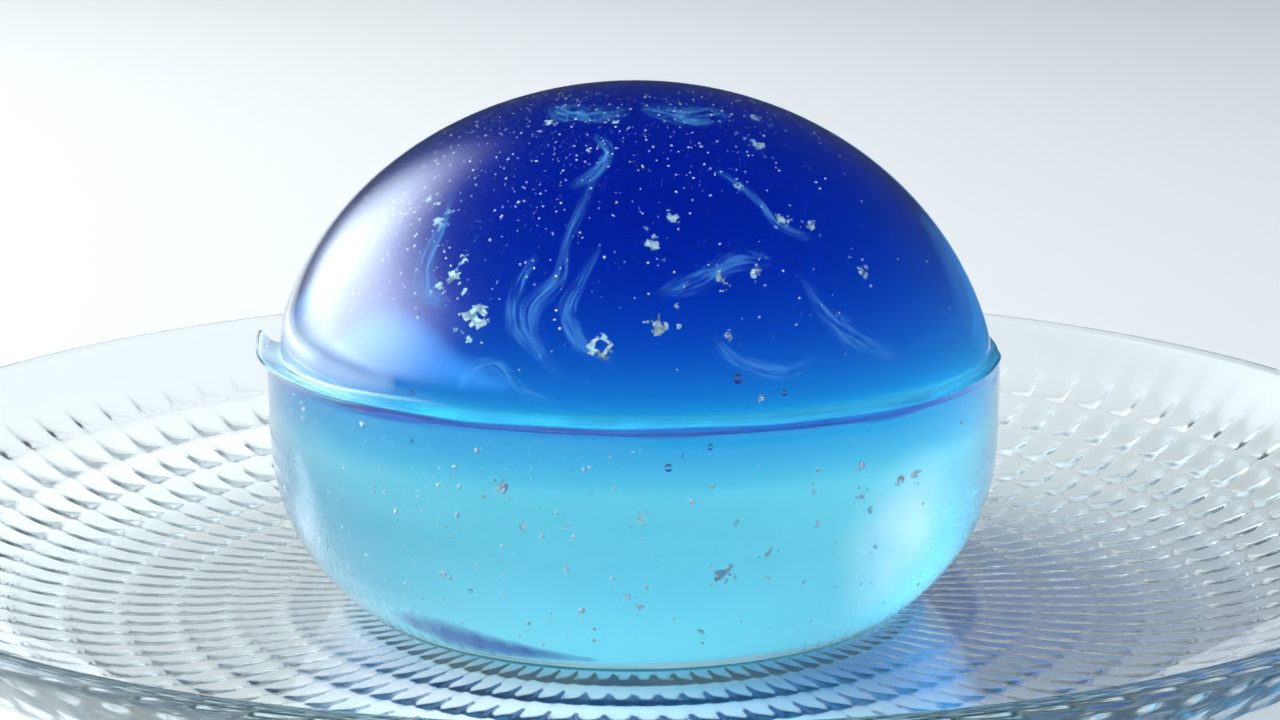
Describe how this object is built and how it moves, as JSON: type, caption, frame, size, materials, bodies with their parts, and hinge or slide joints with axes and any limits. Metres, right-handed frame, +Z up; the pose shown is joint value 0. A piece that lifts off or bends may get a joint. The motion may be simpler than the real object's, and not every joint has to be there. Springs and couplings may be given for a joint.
{
  "type": "raindrop cake on a glass plate",
  "caption": "Two-tone jelly dessert: deep blue dome on a pale cyan rounded body with a raised seam, resting on a pressed clear-glass plate with rings of pillow relief.",
  "frame": {"origin": "middle of the plane that the plate rests on", "axes": "+Z up along the plate's and the cake's axis; -Y towards the side that is looked at, +X to its right"},
  "size_m": [0.1804, 0.1804, 0.059],
  "materials": {
    "clear_glass": "clear pressed glass, smooth on top, pillow relief underneath",
    "cyan_jelly": "wet, slightly cloudy pale cyan jelly with small bubbles and flakes",
    "blue_jelly": "wet deep blue jelly, lighter towards the seam, with silvery flakes and faint wisps"
  },
  "bodies": {
    "root": {"plate": "clear_glass", "lower_jelly": "cyan_jelly", "upper_jelly": "blue_jelly"}
  },
  "joints": []
}
